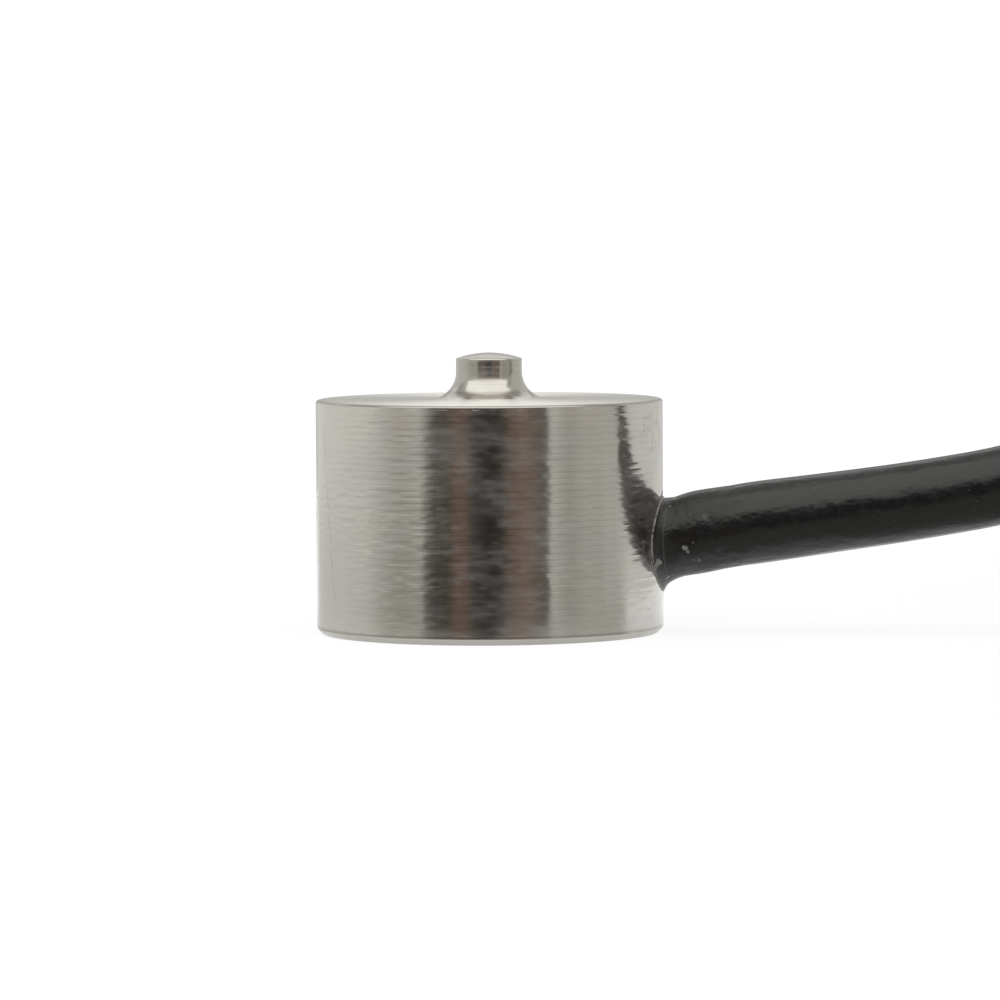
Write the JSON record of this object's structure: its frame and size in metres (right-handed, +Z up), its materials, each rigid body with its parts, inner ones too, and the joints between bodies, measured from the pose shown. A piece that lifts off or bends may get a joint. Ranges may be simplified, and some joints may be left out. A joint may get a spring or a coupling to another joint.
{
  "type": "weighing load cell",
  "caption": "Miniature compression load cell: turned steel can with a domed load button on its diaphragm, a foil gauge bridge inside and a sealed side cable.",
  "frame": {"origin": "centre of the base face that the body stands on", "axes": "+Z up the load axis through the button, +X out along the cable exit"},
  "size_m": [0.0683, 0.0415, 0.011],
  "materials": {
    "steel": "turned",
    "cover": "brushed",
    "gauge": "satin",
    "board": "satin",
    "chip": "matte",
    "wire": "enamelled",
    "solder": "satin",
    "core_red": "satin",
    "core_black": "satin",
    "core_green": "satin",
    "core_white": "satin",
    "sealant": "satin",
    "jacket": "satin",
    "tie": "satin",
    "tinned": "satin"
  },
  "bodies": {
    "root": {"spring_body": "steel", "base_cover": "cover", "strain_gauge_1": "gauge", "strain_gauge_2": "gauge", "strain_gauge_3": "gauge", "strain_gauge_4": "gauge", "terminal_board": "board", "zero_resistor": "chip", "span_resistor": "chip", "gauge_jumpers": "wire", "gauge_solder": "solder", "board_solder": "solder", "inner_lead_red": "core_red", "inner_lead_black": "core_black", "inner_lead_green": "core_green", "inner_lead_white": "core_white", "cable_seal": "sealant", "cable_jacket": "jacket", "cable_coil": "jacket", "cable_tail": "jacket", "coil_tie": "tie", "lead_red": "core_red", "lead_black": "core_black", "lead_green": "core_green", "lead_white": "core_white", "lead_tips": "tinned", "shield_pigtail": "tinned"}
  },
  "joints": []
}
